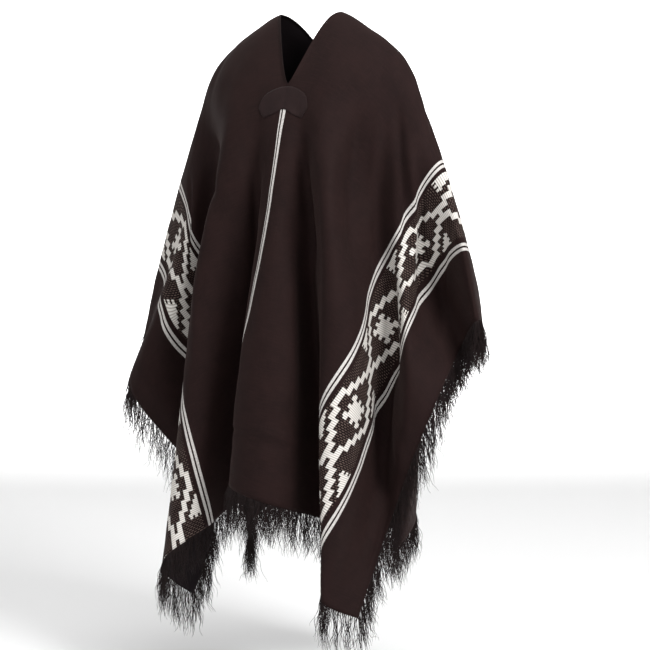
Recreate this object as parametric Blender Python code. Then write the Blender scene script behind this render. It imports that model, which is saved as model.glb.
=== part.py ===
"""Wool poncho in its worn form.

One rectangular woven cloth with a neck slit on its centre line, a small
reinforcing patch sewn over the front end of the slit, and a knotted fringe
on each of the four edges.  Metres, +Z up, the wearer faces -Y and the
wearer's left is +X.  The origin is the point on the shoulder line midway
between the two sides of the neck, where the wearer holds the cloth up.

The cloth is described in its own flat coordinates: s across it, from the
centre line towards the wearer's left, and t along it, from the shoulder line
towards the back.  Each row of the fold tables is one line of warp, named by
what it does when the cloth hangs, and gives its place in plan at each of the
cross-wise sections.  The height table gives how far each section hangs down.
"""

import bpy
import bmesh
import math
import numpy as np

# ------------------------------------------------------------------ sizes
CLOTH_WIDTH = 1.46          # across the arms, edge to edge
FRONT_LENGTH = 0.95         # shoulder line to front edge, measured on the cloth
BACK_LENGTH = 0.85          # shoulder line to back edge
WALL = 0.002                # thickness of the woven cloth
SLIT_FRONT = 0.180          # neck slit, shoulder line to the point of the V
SLIT_BACK = 0.110           # neck slit, shoulder line to the nape
SHOULDER_PITCH = 0.014      # how much straighter than a rounded one the shoulder slopes
NECK_HALF = 0.070           # half the opening at the shoulder line
GAP = 0.0003                # clearance between neighbouring pieces

PATCH_HALF_WIDTH = 0.054    # reinforcing patch, half its width
PATCH_TOP = 0.176           # where it starts, below the shoulder line on the cloth
PATCH_BOTTOM = 0.236
PATCH_WALL = 0.0013

FRINGE_REACH = 0.070        # how far the fringe hangs below the edge
FRINGE_THICK = 0.003

# --------------------------------------------------- the shoulder line, t = 0
# s: place across the cloth; x, y: its place in plan
SHOULDER_LINE = [
    # s,      x,      y
    (-0.73, -0.392,  0.004),
    (-0.58, -0.354,  0.006),
    (-0.42, -0.306,  0.012),
    (-0.34, -0.278,  0.010),
    (-0.26, -0.248,  0.008),
    (-0.18, -0.212,  0.010),
    (-0.10, -0.156,  0.012),
    ( 0.00, -0.070,  0.015),
    ( 0.00,  0.070,  0.015),
    ( 0.10,  0.156,  0.012),
    ( 0.18,  0.216,  0.006),
    ( 0.26,  0.254, -0.008),
    ( 0.34,  0.290, -0.026),
    ( 0.42,  0.322, -0.040),
    ( 0.58,  0.368, -0.050),
    ( 0.73,  0.396, -0.044),
]

# ---------------------------------------------------------- front fold table
# sections at t = -0.18 (breast), -0.42 (waist), -0.68 (thigh), -0.95 (edge)
FRONT_SECTIONS = (-0.18, -0.42, -0.68, -0.95)
FRONT_FOLDS = [
    # s      x,y breast        x,y waist         x,y thigh         x,y edge         what the line is
    (-0.73, -0.366, -0.030,  -0.350, -0.112,  -0.222, -0.038,  -0.204, -0.110),  # right selvedge
    (-0.66, -0.342, -0.040,  -0.306, -0.120,  -0.186, -0.022,  -0.222, -0.164),
    (-0.58, -0.314, -0.040,  -0.262, -0.078,  -0.172, -0.062,  -0.205, -0.218),  # outer stripe
    (-0.50, -0.276, -0.050,  -0.226, -0.028,  -0.200, -0.122,  -0.160, -0.234),
    (-0.42, -0.244, -0.066,  -0.180, -0.038,  -0.182, -0.182,  -0.125, -0.175),  # inner stripe
    (-0.34, -0.226, -0.060,  -0.168, -0.100,  -0.128, -0.178,  -0.118, -0.105),
    (-0.26, -0.202, -0.030,  -0.152, -0.160,  -0.098, -0.112,  -0.066, -0.080),  # left-hand valley
    (-0.18, -0.154, -0.084,  -0.092, -0.142,  -0.050, -0.086,  -0.014, -0.084),
    (-0.11, -0.100, -0.112,  -0.055, -0.106,  -0.025, -0.124,   0.004, -0.124),
    (-0.05, -0.038, -0.108,  -0.027, -0.140,  -0.048, -0.160,  -0.036, -0.152),
    ( 0.00,  0.016, -0.104,   0.010, -0.166,  -0.028, -0.198,  -0.054, -0.192),  # centre stripe
    ( 0.05,  0.067, -0.108,   0.040, -0.160,   0.012, -0.224,  -0.038, -0.234),
    ( 0.11,  0.110, -0.112,   0.064, -0.112,   0.064, -0.204,   0.014, -0.254),  # middle ridge
    ( 0.18,  0.160, -0.088,   0.104, -0.144,   0.070, -0.142,   0.072, -0.226),
    ( 0.26,  0.205, -0.066,   0.154, -0.176,   0.086, -0.098,   0.080, -0.152),
    ( 0.34,  0.250, -0.078,   0.186, -0.136,   0.124, -0.146,   0.104, -0.096),  # right-hand valley
    ( 0.42,  0.268, -0.052,   0.186, -0.082,   0.148, -0.208,   0.160, -0.080),  # inner stripe
    ( 0.50,  0.270, -0.018,   0.206, -0.036,   0.194, -0.198,   0.198, -0.112),
    ( 0.58,  0.284,  0.018,   0.256, -0.086,   0.196, -0.132,   0.171, -0.162),  # outer stripe
    ( 0.66,  0.316,  0.012,   0.296, -0.112,   0.202, -0.076,   0.160, -0.226),
    ( 0.73,  0.344,  0.006,   0.334, -0.094,   0.245, -0.085,   0.214, -0.180),  # left selvedge
]

# ----------------------------------------------------------- back fold table
# sections at t = 0.18 (shoulder blade), 0.42 (waist), 0.64 (seat), 0.85 (edge)
BACK_SECTIONS = (0.18, 0.42, 0.64, 0.85)
BACK_FOLDS = [
    # s      x,y blade         x,y waist         x,y seat          x,y edge
    (-0.73, -0.360,  0.072,  -0.272,  0.006,  -0.186,  0.046,  -0.195,  0.095),  # right selvedge
    (-0.66, -0.340,  0.092,  -0.246,  0.016,  -0.222,  0.084,  -0.225,  0.145),
    (-0.58, -0.310,  0.104,  -0.205,  0.020,  -0.235,  0.140,  -0.200,  0.200),
    (-0.50, -0.270,  0.090,  -0.210,  0.075,  -0.205,  0.185,  -0.140,  0.190),  # right ridge
    (-0.42, -0.242,  0.052,  -0.237,  0.126,  -0.155,  0.155,  -0.125,  0.130),
    (-0.34, -0.200,  0.034,  -0.197,  0.162,  -0.138,  0.102,  -0.086,  0.082),  # right valley
    (-0.26, -0.168,  0.068,  -0.152,  0.122,  -0.084,  0.078,  -0.040,  0.115),
    (-0.18, -0.148,  0.112,  -0.112,  0.090,  -0.086,  0.116,  -0.080,  0.152),
    (-0.11, -0.100,  0.104,  -0.100,  0.130,  -0.100,  0.165,  -0.095,  0.205),
    (-0.05, -0.046,  0.104,  -0.050,  0.155,  -0.050,  0.195,  -0.045,  0.225),
    ( 0.00,  0.000,  0.100,   0.000,  0.150,   0.000,  0.186,   0.000,  0.215),  # centre of the back
    ( 0.05,  0.046,  0.104,   0.050,  0.158,   0.050,  0.200,   0.045,  0.235),
    ( 0.11,  0.100,  0.102,   0.100,  0.135,   0.100,  0.175,   0.100,  0.215),
    ( 0.18,  0.152,  0.106,   0.112,  0.094,   0.088,  0.122,   0.084,  0.158),
    ( 0.26,  0.184,  0.066,   0.160,  0.120,   0.082,  0.082,   0.040,  0.122),
    ( 0.34,  0.208,  0.020,   0.200,  0.155,   0.130,  0.090,   0.076,  0.070),  # left valley
    ( 0.42,  0.250,  0.018,   0.240,  0.115,   0.145,  0.130,   0.098,  0.110),
    ( 0.50,  0.280,  0.044,   0.215,  0.060,   0.172,  0.166,   0.118,  0.174),  # left ridge
    ( 0.58,  0.304,  0.070,   0.200,  0.005,   0.200,  0.116,   0.150,  0.182),
    ( 0.66,  0.326,  0.082,   0.232, -0.022,   0.206,  0.066,   0.164,  0.134),
    ( 0.73,  0.342,  0.064,   0.256, -0.046,   0.190,  0.030,   0.150,  0.098),  # left selvedge
]

# -------------------------------------------------------- where the folds run
# the place across the cloth of each fold at each section.  The folds hang
# down, so on the slanting sides of the cloth they drift towards the selvedge.
FOLD_PLACES = [
    # t       outer    ridge   inner   middle  inner   ridge   outer
    #         valley           valley          valley          valley
    (-0.95, (-0.710, -0.520, -0.260,  0.090,  0.340,  0.640,  0.715)),
    (-0.68, (-0.660, -0.380, -0.200,  0.060,  0.250,  0.440,  0.670)),
    (-0.42, (-0.460, -0.260, -0.110,  0.020,  0.110,  0.260,  0.480)),
    (-0.18, (-0.270, -0.120, -0.050,  0.000,  0.050,  0.120,  0.280)),
    ( 0.00, (-0.300, -0.140, -0.060,  0.000,  0.060,  0.140,  0.320)),
    ( 0.18, (-0.340, -0.180, -0.080,  0.000,  0.080,  0.180,  0.380)),
    ( 0.42, (-0.620, -0.340, -0.180,  0.000,  0.180,  0.340,  0.620)),
    ( 0.64, (-0.700, -0.520, -0.270,  0.000,  0.270,  0.500,  0.700)),
    ( 0.85, (-0.712, -0.560, -0.340,  0.000,  0.340,  0.570,  0.712)),
]

# ------------------------------------------------------------- height table
# how far below the neck each section hangs, at places across the cloth
HEIGHT_PLACES = (-0.73, -0.42, -0.18, 0.0, 0.18, 0.42, 0.73)
HEIGHTS = [
    # t        right edge ............ centre ............ left edge
    (-0.95, (-1.160, -1.005, -0.930, -0.904, -0.945, -1.010, -1.150)),
    (-0.68, (-0.955, -0.772, -0.680, -0.645, -0.680, -0.766, -0.945)),
    (-0.42, (-0.755, -0.556, -0.430, -0.380, -0.428, -0.545, -0.740)),
    (-0.18, (-0.668, -0.392, -0.210, -0.140, -0.208, -0.372, -0.630)),
    ( 0.00, (-0.640, -0.336, -0.098,  0.005, -0.092, -0.302, -0.588)),
    ( 0.18, (-0.668, -0.396, -0.220, -0.152, -0.216, -0.372, -0.626)),
    ( 0.42, (-0.785, -0.566, -0.436, -0.396, -0.434, -0.552, -0.762)),
    ( 0.64, (-0.935, -0.750, -0.645, -0.618, -0.645, -0.742, -0.915)),
    ( 0.85, (-1.095, -0.935, -0.845, -0.822, -0.845, -0.930, -1.070)),
]


# ------------------------------------------------------- smooth curves
def spline(knots, values, at):
    """Natural cubic spline through values at knots, read at the places `at`.
    values may have any number of trailing axes."""
    k = np.asarray(knots, float)
    v = np.asarray(values, float)
    at = np.asarray(at, float)
    n = len(k)
    h = np.diff(k)
    a = np.zeros((n, n))
    b = np.zeros((n,) + v.shape[1:])
    a[0, 0] = a[-1, -1] = 1.0
    for i in range(1, n - 1):
        a[i, i - 1], a[i, i], a[i, i + 1] = h[i - 1], 2 * (h[i - 1] + h[i]), h[i]
        b[i] = 6 * ((v[i + 1] - v[i]) / h[i] - (v[i] - v[i - 1]) / h[i - 1])
    m = np.linalg.solve(a, b.reshape(n, -1)).reshape(b.shape)
    i = np.clip(np.searchsorted(k, at, side="right") - 1, 0, n - 2)
    tail = (slice(None),) + (None,) * (v.ndim - 1)
    hi = h[i][tail]
    p = (k[i + 1] - at)[tail] / hi
    q = (at - k[i])[tail] / hi
    return (p * v[i] + q * v[i + 1]
            + ((p ** 3 - p) * m[i] + (q ** 3 - q) * m[i + 1]) * hi * hi / 6)


def even_curve(knots, values, at):
    """Smooth curve through values at knots that never swings past them."""
    k, v = np.asarray(knots, float), np.asarray(values, float)
    at = np.asarray(at, float)
    h, d = np.diff(k), np.diff(v) / np.diff(k)
    m = np.zeros_like(v)
    m[0], m[-1] = d[0], d[-1]
    same = d[:-1] * d[1:] > 0
    w1, w2 = 2 * h[1:] + h[:-1], h[1:] + 2 * h[:-1]
    safe = np.where(same, d[:-1] * d[1:], 1.0)
    m[1:-1] = np.where(same, (w1 + w2) * safe / (w1 * d[1:] + w2 * d[:-1] + (~same)), 0.0)
    i = np.clip(np.searchsorted(k, at, side="right") - 1, 0, len(k) - 2)
    q = (at - k[i]) / h[i]
    return (v[i] * (1 + 2 * q) * (1 - q) ** 2 + m[i] * h[i] * q * (1 - q) ** 2
            + v[i + 1] * q * q * (3 - 2 * q) + m[i + 1] * h[i] * q * q * (q - 1))


def section_places():
    """The fold lines' places s, the sections' places t, and the plan (x, y)
    of each fold line at each section, with the neck opening closed up."""
    s = np.array([row[0] for row in FRONT_FOLDS])
    line = np.array(SHOULDER_LINE)
    # each half has its own row at the slit's edge, where s is 0
    left, right = line[line[:, 1] < 0], line[line[:, 1] > 0]
    top = np.zeros((len(s), 2))
    for i, si in enumerate(s):
        half = left if si < 0 else right
        top[i] = spline(half[:, 0], half[:, 1:], [si])[0]
        top[i, 0] -= math.copysign(1.0, si) * opening(si, 0.0)
    top[s == 0, 0] = 0.0
    plan, t = [], []
    for j, tj in reversed(list(enumerate(FRONT_SECTIONS))):
        t.append(tj)
        plan.append([(r[1 + 2 * j], r[2 + 2 * j]) for r in FRONT_FOLDS])
    t.append(0.0)
    plan.append(top)
    for j, tj in enumerate(BACK_SECTIONS):
        t.append(tj)
        plan.append([(r[1 + 2 * j], r[2 + 2 * j]) for r in BACK_FOLDS])
    return s, np.array(t), np.array([np.asarray(p) for p in plan])


def slit_ease(s, t):
    """1 at the middle of the neck slit, falling to 0 at its two ends; beside
    the slit it runs past the ends more and more softly."""
    raw = 1.0 - abs(t) / (SLIT_FRONT if t < 0 else SLIT_BACK)
    left = math.copysign(abs(raw) ** 0.8, raw)
    soft = min(1.0, abs(s) / 0.10) * 0.35
    full = (1.0 + math.sqrt(1.0 + soft * soft)) / 2
    return (left + math.sqrt(left * left + soft * soft)) / 2 / full


def opening(s, t):
    """How far a point is pushed sideways by the open neck slit; the cloth
    beside it gives way less the further it is from the slit."""
    return NECK_HALF * math.exp(-(s / 0.13) ** 2) * slit_ease(s, t)


def shoulder_drop(s, t):
    """How far the cloth beside the neck lies below a rounded shoulder."""
    u = abs(s) / 0.075
    return SHOULDER_PITCH * u * math.exp((1 - u * u) / 2) * slit_ease(s, t)


def cloth_grid(s_list, t_list, side=None):
    """Points of the cloth's middle surface, indexed [s, t].  side is -1 or 1
    for the two edges of the slit where s is 0."""
    s_rows, t_rows, plan = section_places()
    s_list = np.asarray(s_list, float)
    t_list = np.asarray(t_list, float)
    half = CLOTH_WIDTH / 2
    folds = np.array([(-half, *row[1], half) for row in FOLD_PLACES])
    share = spline(t_rows, np.eye(len(t_rows)), t_list)           # [t, sections]
    xy = np.zeros((len(t_list), len(s_list), 2))
    for j, tj in enumerate(t_list):
        here = [even_curve(t_rows, folds[:, k], [tj])[0] for k in range(folds.shape[1])]
        for section in range(len(t_rows)):
            if abs(share[j, section]) > 1e-9:
                same_fold = even_curve(here, folds[section], s_list)
                xy[j] += share[j, section] * spline(s_rows, plan[section], same_fold)
    heights = np.array([row[1] for row in HEIGHTS])               # [t_rows, places]
    zs = spline(HEIGHT_PLACES, heights.T, s_list)                 # [s, t_rows]
    z = spline([row[0] for row in HEIGHTS], zs.T, t_list)         # [t, s]
    out = np.concatenate([xy, z[..., None]], -1).swapaxes(0, 1)   # [s, t, 3]
    for i, si in enumerate(s_list):
        sign = (side or 1) if si == 0 else math.copysign(1.0, si)
        for j, tj in enumerate(t_list):
            out[i, j, 0] += sign * opening(si, tj)
            out[i, j, 2] -= shoulder_drop(si, tj)
    return out


# ------------------------------------------------------------------ building
HALF = CLOTH_WIDTH / 2
COLUMNS_BESIDE_PATCH = 23   # cells from the patch's side to the selvedge
FRONT_ROWS = (0.030, 0.065, 0.105, 0.145, SLIT_FRONT, 0.208, PATCH_BOTTOM,
              0.280, 0.335, 0.390, 0.445, 0.500, 0.555, 0.610, 0.665, 0.720,
              0.775, 0.830, 0.890, FRONT_LENGTH)
BACK_ROWS = (0.030, 0.070, SLIT_BACK, 0.160, 0.215, 0.275, 0.335, 0.395, 0.455,
             0.515, 0.575, 0.635, 0.695, 0.750, 0.800, BACK_LENGTH)


def unit(v):
    return v / np.maximum(np.linalg.norm(v, axis=-1, keepdims=True), 1e-12)


class Cloth:
    """The cloth's middle surface as a faceted grid with an open slit: points,
    vertex normals (pointing away from the wearer) and triangles."""

    def __init__(self):
        right = [PATCH_HALF_WIDTH / 2] + list(
            np.linspace(PATCH_HALF_WIDTH, HALF, COLUMNS_BESIDE_PATCH + 1))
        self.s = np.array([-v for v in reversed(right)] + [0.0] + right)
        self.t = np.array([-v for v in reversed(FRONT_ROWS)] + [0.0] + list(BACK_ROWS))
        ns, nt = len(self.s), len(self.t)
        self.middle = len(right)
        left = cloth_grid(self.s, self.t, side=-1)
        self.points = [tuple(p) for p in left.reshape(-1, 3)]
        self.index = {-1: np.arange(ns * nt).reshape(ns, nt)}
        self.index[1] = self.index[-1].copy()
        # the slit's second edge has points of its own between its two ends
        other = cloth_grid([0.0], self.t, side=1)[0]
        for j, tj in enumerate(self.t):
            if -SLIT_FRONT + 1e-9 < tj < SLIT_BACK - 1e-9:
                self.index[1][self.middle, j] = len(self.points)
                self.points.append(tuple(other[j]))
        self.points = np.array(self.points)
        self.triangles = []
        self.cell = {}
        for i in range(ns - 1):
            side = -1 if i < self.middle else 1
            ids = self.index[side]
            for j in range(nt - 1):
                a, b, c, d = ids[i, j], ids[i + 1, j], ids[i + 1, j + 1], ids[i, j + 1]
                # cut along the folds, which drift from the middle to the selvedges
                outward = (self.s[i] + self.s[i + 1]) * (self.t[j] + self.t[j + 1]) > 0
                pair = [(a, b, c), (a, c, d)] if outward else [(a, b, d), (b, c, d)]
                self.cell[i, j] = pair
                self.triangles += pair
        tri = np.array(self.triangles)
        p = self.points
        face = np.cross(p[tri[:, 1]] - p[tri[:, 0]], p[tri[:, 2]] - p[tri[:, 0]])
        normal = np.zeros_like(p)
        for k in range(3):
            np.add.at(normal, tri[:, k], face)
        self.normals = unit(normal)
        # flat coordinates of every point, for what is sewn on
        flat = np.zeros((len(p), 2))
        for side in (-1, 1):
            for i in range(ns):
                flat[self.index[side][i], 0] = self.s[i]
                flat[self.index[side][i], 1] = self.t
        self.flat = flat

    def edge_loop(self):
        """Point numbers round the outside, then along the slit: the order in
        which the wall's rims are closed."""
        one, two = self.index[-1], self.index[1]
        front = list(one[:self.middle + 1, 0]) + list(two[self.middle + 1:, 0])
        left = list(two[-1, 1:])
        back = list(two[self.middle + 1:, -1][::-1]) + list(one[:self.middle + 1, -1][::-1])
        right = list(one[0, ::-1])
        outside = front + left + back[1:] + right[1:]
        inside = [j for j, tj in enumerate(self.t)
                  if -SLIT_FRONT - 1e-9 < tj < SLIT_BACK + 1e-9]
        slit = ([two[self.middle, j] for j in inside]
                + [one[self.middle, j] for j in reversed(inside)][1:])
        return outside, slit


def make_object(name, points, faces, material):
    """One closed body from points and faces, with its faces turned out."""
    mesh = bpy.data.meshes.new(name)
    mesh.from_pydata([tuple(map(float, p)) for p in points], [],
                     [tuple(map(int, f)) for f in faces])
    body = bmesh.new()
    body.from_mesh(mesh)
    bmesh.ops.triangulate(body, faces=body.faces[:])
    bmesh.ops.recalc_face_normals(body, faces=body.faces[:])
    if body.calc_volume(signed=True) < 0:
        bmesh.ops.reverse_faces(body, faces=body.faces[:])
    body.to_mesh(mesh)
    body.free()
    mesh.materials.append(material)
    thing = bpy.data.objects.new(name, mesh)
    bpy.context.scene.collection.objects.link(thing)
    return thing


def make_material(name, colour, roughness):
    material = bpy.data.materials.new(name)
    material.use_nodes = True
    surface = material.node_tree.nodes["Principled BSDF"]
    surface.inputs["Base Color"].default_value = (*colour, 1.0)
    surface.inputs["Roughness"].default_value = roughness
    surface.inputs["Metallic"].default_value = 0.0
    return material


def build_cloth(cloth, material):
    """The woven wall: an outer and an inner skin joined by rims round the
    outside and round the slit."""
    n = len(cloth.points)
    outer = cloth.points + cloth.normals * WALL / 2
    inner = cloth.points - cloth.normals * WALL / 2
    faces = [tuple(f) for f in cloth.triangles]
    faces += [(a + n, c + n, b + n) for a, b, c in cloth.triangles]
    for loop in cloth.edge_loop():
        for a, b in zip(loop[:-1], loop[1:]):
            low, high = min(a, b), max(a, b)
            faces += [(low, low + n, high + n), (low, high + n, high)]
    return make_object("cloth", np.vstack([outer, inner]), faces, material)


def clip(polygon, inside_left_of):
    """Cuts a convex outline in flat coordinates by a convex one."""
    out = list(polygon)
    for (ax, ay), (bx, by) in zip(inside_left_of, inside_left_of[1:] + inside_left_of[:1]):
        def depth(q):
            return (bx - ax) * (q[1] - ay) - (by - ay) * (q[0] - ax)
        cut = []
        for p, q in zip(out, out[1:] + out[:1]):
            dp, dq = depth(p), depth(q)
            if dp >= -1e-12:
                cut.append(p)
            if (dp > 1e-12 and dq < -1e-12) or (dp < -1e-12 and dq > 1e-12):
                k = dp / (dp - dq)
                cut.append((p[0] + (q[0] - p[0]) * k, p[1] + (q[1] - p[1]) * k))
        out = cut
        if len(out) < 3:
            return []
    return out


# one lobe of the patch, from the centre seam outwards: place across, and
# place down from the patch's top as a share of its height
PATCH_LOBE = [
    # across, down
    (0.000, 0.20),   # top of the centre seam
    (0.018, 0.04),
    (0.036, 0.00),   # top of the lobe
    (0.048, 0.14),
    (0.054, 0.44),   # tip of the lobe
    (0.049, 0.76),
    (0.036, 0.96),
    (0.016, 1.00),
    (0.000, 0.92),   # foot of the centre seam
]


def build_patch(cloth, material):
    """The patch lies on the cloth's own facets, one gap above its outer skin,
    so that it follows them exactly."""
    height = PATCH_BOTTOM - PATCH_TOP
    points, keys, skin = [], {}, []

    def point(q, corners):
        key = (round(q[0], 7), round(q[1], 7))
        if key not in keys:
            f = cloth.flat[list(corners)]
            m = np.array([f[1] - f[0], f[2] - f[0]]).T
            u, v = np.linalg.solve(m, np.array(q) - f[0])
            w = np.array([1 - u - v, u, v])
            keys[key] = len(points)
            points.append((w @ cloth.points[list(corners)], w @ cloth.normals[list(corners)]))
        return keys[key]

    for side in (-1, 1):
        lobe = [(side * x, -(PATCH_TOP + d * height)) for x, d in PATCH_LOBE]
        if side > 0:
            lobe = lobe[::-1]
        for pair in cloth.cell.values():
            for corners in pair:
                f = [tuple(cloth.flat[k]) for k in corners]
                if max(abs(x) for x, _ in f) > PATCH_HALF_WIDTH + 1e-6:
                    continue
                if min(y for _, y in f) > -PATCH_TOP or max(y for _, y in f) < -PATCH_BOTTOM:
                    continue
                if side * sum(x for x, _ in f) < 0:
                    continue
                part = clip(f, lobe)
                numbers = []
                for q in part:
                    k = point(q, corners)
                    if k not in numbers:
                        numbers.append(k)
                if len(numbers) > 2:
                    skin.append(numbers)
    base = np.array([p for p, _ in points])
    normal = np.array([n for _, n in points])
    low = base + normal * (WALL / 2 + GAP)
    high = low + normal * PATCH_WALL
    n = len(points)
    faces = [tuple(k + n for k in f) for f in skin] + [tuple(reversed(f)) for f in skin]
    edges = {}
    for f in skin:
        for a, b in zip(f, f[1:] + f[:1]):
            edges[a, b] = edges.get((a, b), 0) + 1
    for a, b in edges:
        if (b, a) not in edges:
            faces.append((a, b, b + n, a + n))
    return make_object("neck_patch", np.vstack([low, high]), faces, material)


def build_fringe(cloth, name, edge, inward, hang, clear, material):
    """One length of fringe as the plain solid of its reach: a band that starts
    one gap outside the edge and falls away from it, between the direction in
    which the cloth ends and straight down.  hang is the share of the latter,
    and clear is how far it stands off the cloth's outer side as it falls."""
    p = cloth.points[edge]
    nrm = cloth.normals[edge]
    out = unit(p - cloth.points[inward])
    along = unit(np.gradient(p, axis=0))
    out = unit(out - along * (out * along).sum(1, keepdims=True))
    down = np.array([0.0, 0.0, -1.0])
    fall = unit(out * (1 - hang) + down * hang + nrm * clear)
    # the two end points draw in a little, clear of the next side's fringe
    p = p.copy()
    p[0] += along[0] * 0.002
    p[-1] -= along[-1] * 0.002
    side = unit(nrm - along * (nrm * along).sum(1, keepdims=True))
    start = p + out * GAP * 2
    bend = start + unit(out * 0.6 + fall * 0.4) * FRINGE_REACH * 0.22
    tip = start + fall * FRINGE_REACH
    lean = unit(np.cross(along, tip - bend))
    lean *= np.sign((lean * side).sum(1, keepdims=True))
    rows = [(start, side * WALL / FRINGE_THICK), (bend, unit(side + lean)), (tip, lean)]
    m = len(p)
    points, faces = [], []
    for centre, thick in rows:
        points.append(centre + thick * FRINGE_THICK / 2)
        points.append(centre - thick * FRINGE_THICK / 2)
    points = np.vstack(points)

    def at(row, skin, k):
        return (row * 2 + skin) * m + k
    for k in range(m - 1):
        for row in range(len(rows) - 1):
            for skin in (0, 1):
                faces.append((at(row, skin, k), at(row, skin, k + 1),
                              at(row + 1, skin, k + 1), at(row + 1, skin, k)))
        # the top is split the same way as the cloth's rim that it faces
        low, high = (k, k + 1) if edge[k] < edge[k + 1] else (k + 1, k)
        faces += [(at(0, 0, low), at(0, 1, low), at(0, 1, high)),
                  (at(0, 0, low), at(0, 1, high), at(0, 0, high))]
        row = len(rows) - 1
        faces.append((at(row, 0, k), at(row, 0, k + 1), at(row, 1, k + 1), at(row, 1, k)))
    for k in (0, m - 1):
        for row in range(len(rows) - 1):
            faces.append((at(row, 0, k), at(row + 1, 0, k), at(row + 1, 1, k), at(row, 1, k)))
    return make_object(name, points, faces, material)


for old in list(bpy.data.objects):
    bpy.data.objects.remove(old, do_unlink=True)

wool = make_material("black_brown_wool", (0.036, 0.028, 0.026), 0.86)
backing = make_material("patch_wool", (0.050, 0.040, 0.042), 0.80)
yarn = make_material("fringe_yarn", (0.026, 0.021, 0.021), 0.90)

cloth = Cloth()
build_cloth(cloth, wool)
build_patch(cloth, backing)
one, two = cloth.index[-1], cloth.index[1]
build_fringe(cloth, "fringe_front", one[:, 0], one[:, 1], 0.65, 0.0, yarn)
build_fringe(cloth, "fringe_back", one[:, -1], one[:, -2], 0.65, 0.0, yarn)
build_fringe(cloth, "fringe_right", one[0, :], one[1, :], 0.70, 0.25, yarn)
build_fringe(cloth, "fringe_left", one[-1, :], one[-2, :], 0.70, 0.25, yarn)
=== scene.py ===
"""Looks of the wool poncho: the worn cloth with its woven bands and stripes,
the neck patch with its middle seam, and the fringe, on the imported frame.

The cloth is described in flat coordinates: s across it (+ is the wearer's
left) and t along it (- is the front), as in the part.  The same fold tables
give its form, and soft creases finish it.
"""

import math

import bpy
import numpy as np
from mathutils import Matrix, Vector


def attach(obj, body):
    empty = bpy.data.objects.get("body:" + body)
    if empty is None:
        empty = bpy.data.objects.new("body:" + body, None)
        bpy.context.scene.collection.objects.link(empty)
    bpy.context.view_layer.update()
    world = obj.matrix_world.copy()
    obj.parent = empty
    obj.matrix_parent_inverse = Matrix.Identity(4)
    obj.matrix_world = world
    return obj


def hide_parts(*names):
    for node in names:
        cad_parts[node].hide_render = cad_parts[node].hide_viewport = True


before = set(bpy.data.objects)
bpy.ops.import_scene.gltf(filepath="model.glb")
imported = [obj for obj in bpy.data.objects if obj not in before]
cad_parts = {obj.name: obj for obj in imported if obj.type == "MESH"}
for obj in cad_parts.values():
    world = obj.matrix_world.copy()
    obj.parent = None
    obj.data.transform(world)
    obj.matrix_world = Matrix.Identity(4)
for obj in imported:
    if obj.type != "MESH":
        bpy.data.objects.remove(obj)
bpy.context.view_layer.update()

# ------------------------------------------------------------------ sizes
CLOTH_WIDTH = 1.46          # across the arms, edge to edge
FRONT_LENGTH = 0.95         # shoulder line to front edge, measured on the cloth
BACK_LENGTH = 0.85          # shoulder line to back edge
WALL = 0.002                # thickness of the woven cloth
SLIT_FRONT = 0.180          # neck slit, shoulder line to the point of the V
SLIT_BACK = 0.110           # neck slit, shoulder line to the nape
SHOULDER_PITCH = 0.014      # how much straighter than a rounded one the shoulder slopes
NECK_HALF = 0.070           # half the opening at the shoulder line
GAP = 0.0003                # clearance between neighbouring pieces

PATCH_HALF_WIDTH = 0.054    # reinforcing patch, half its width
PATCH_TOP = 0.176           # where it starts, below the shoulder line on the cloth
PATCH_BOTTOM = 0.236
PATCH_WALL = 0.0013

FRINGE_REACH = 0.070        # how far the fringe hangs below the edge
FRINGE_THICK = 0.003

# --------------------------------------------------- the shoulder line, t = 0
# s: place across the cloth; x, y: its place in plan
SHOULDER_LINE = [
    # s,      x,      y
    (-0.73, -0.392,  0.004),
    (-0.58, -0.354,  0.006),
    (-0.42, -0.306,  0.012),
    (-0.34, -0.278,  0.010),
    (-0.26, -0.248,  0.008),
    (-0.18, -0.212,  0.010),
    (-0.10, -0.156,  0.012),
    ( 0.00, -0.070,  0.015),
    ( 0.00,  0.070,  0.015),
    ( 0.10,  0.156,  0.012),
    ( 0.18,  0.216,  0.006),
    ( 0.26,  0.254, -0.008),
    ( 0.34,  0.290, -0.026),
    ( 0.42,  0.322, -0.040),
    ( 0.58,  0.368, -0.050),
    ( 0.73,  0.396, -0.044),
]

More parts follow.
